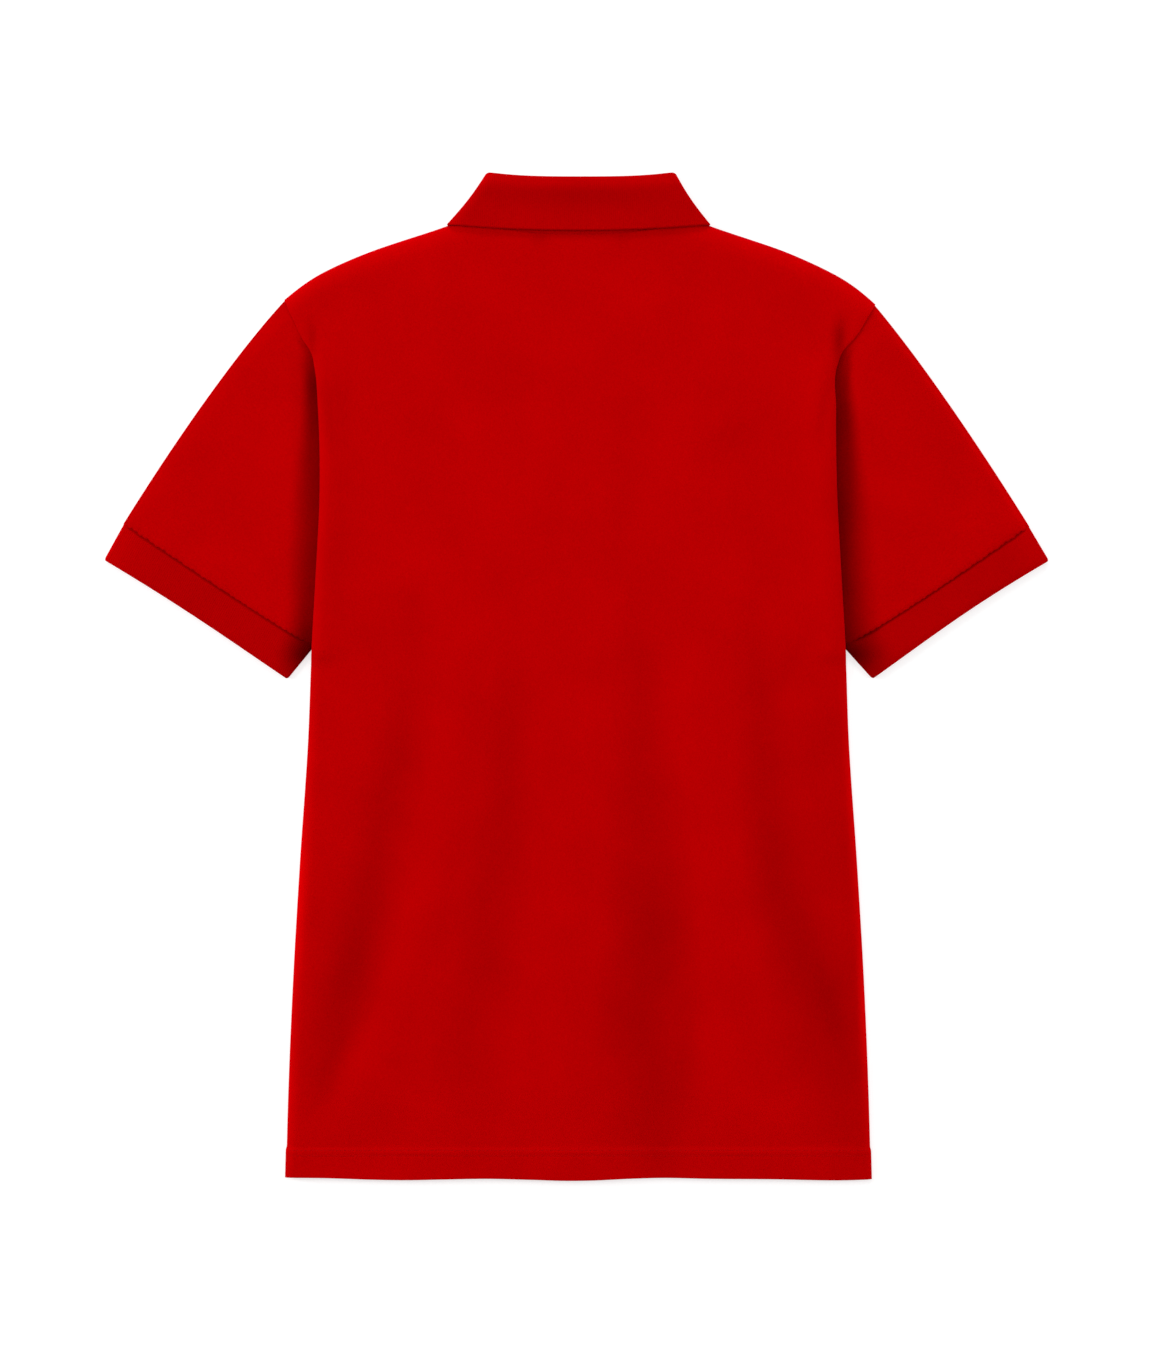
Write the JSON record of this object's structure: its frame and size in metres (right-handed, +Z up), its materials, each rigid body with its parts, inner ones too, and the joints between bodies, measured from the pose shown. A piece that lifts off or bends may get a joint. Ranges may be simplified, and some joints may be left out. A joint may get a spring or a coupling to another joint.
{
  "type": "polo shirt",
  "caption": "Plain short-sleeved polo shirt laid flat on its front, back upwards, with a folded rib collar, rib cuffs, a straight turned-up hem and a buttoned placket underneath.",
  "frame": {"origin": "the middle of the shirt's outline, on the surface that it lies on", "axes": "+X across the chest towards the wearer's right sleeve, +Y from the hem to the collar, +Z up through the layers, front panel to back panel"},
  "size_m": [0.6917, 0.74, 0.0097],
  "materials": {
    "body_knit": "red piqué cotton knit, matt with a faint pink bloom at its rolled edges",
    "rib_knit": "red fine-ribbed cotton knit, a shade deeper than the body",
    "button": "dyed-to-match moulded buttons with four holes"
  },
  "bodies": {
    "root": {"back_panel": "body_knit", "front_panel": "body_knit", "sleeve_left": "body_knit", "sleeve_right": "body_knit", "placket_outer": "body_knit", "placket_inner": "body_knit", "cuff_left": "rib_knit", "cuff_right": "rib_knit", "collar": "rib_knit", "button_1": "button", "button_2": "button", "button_3": "button"}
  },
  "joints": []
}
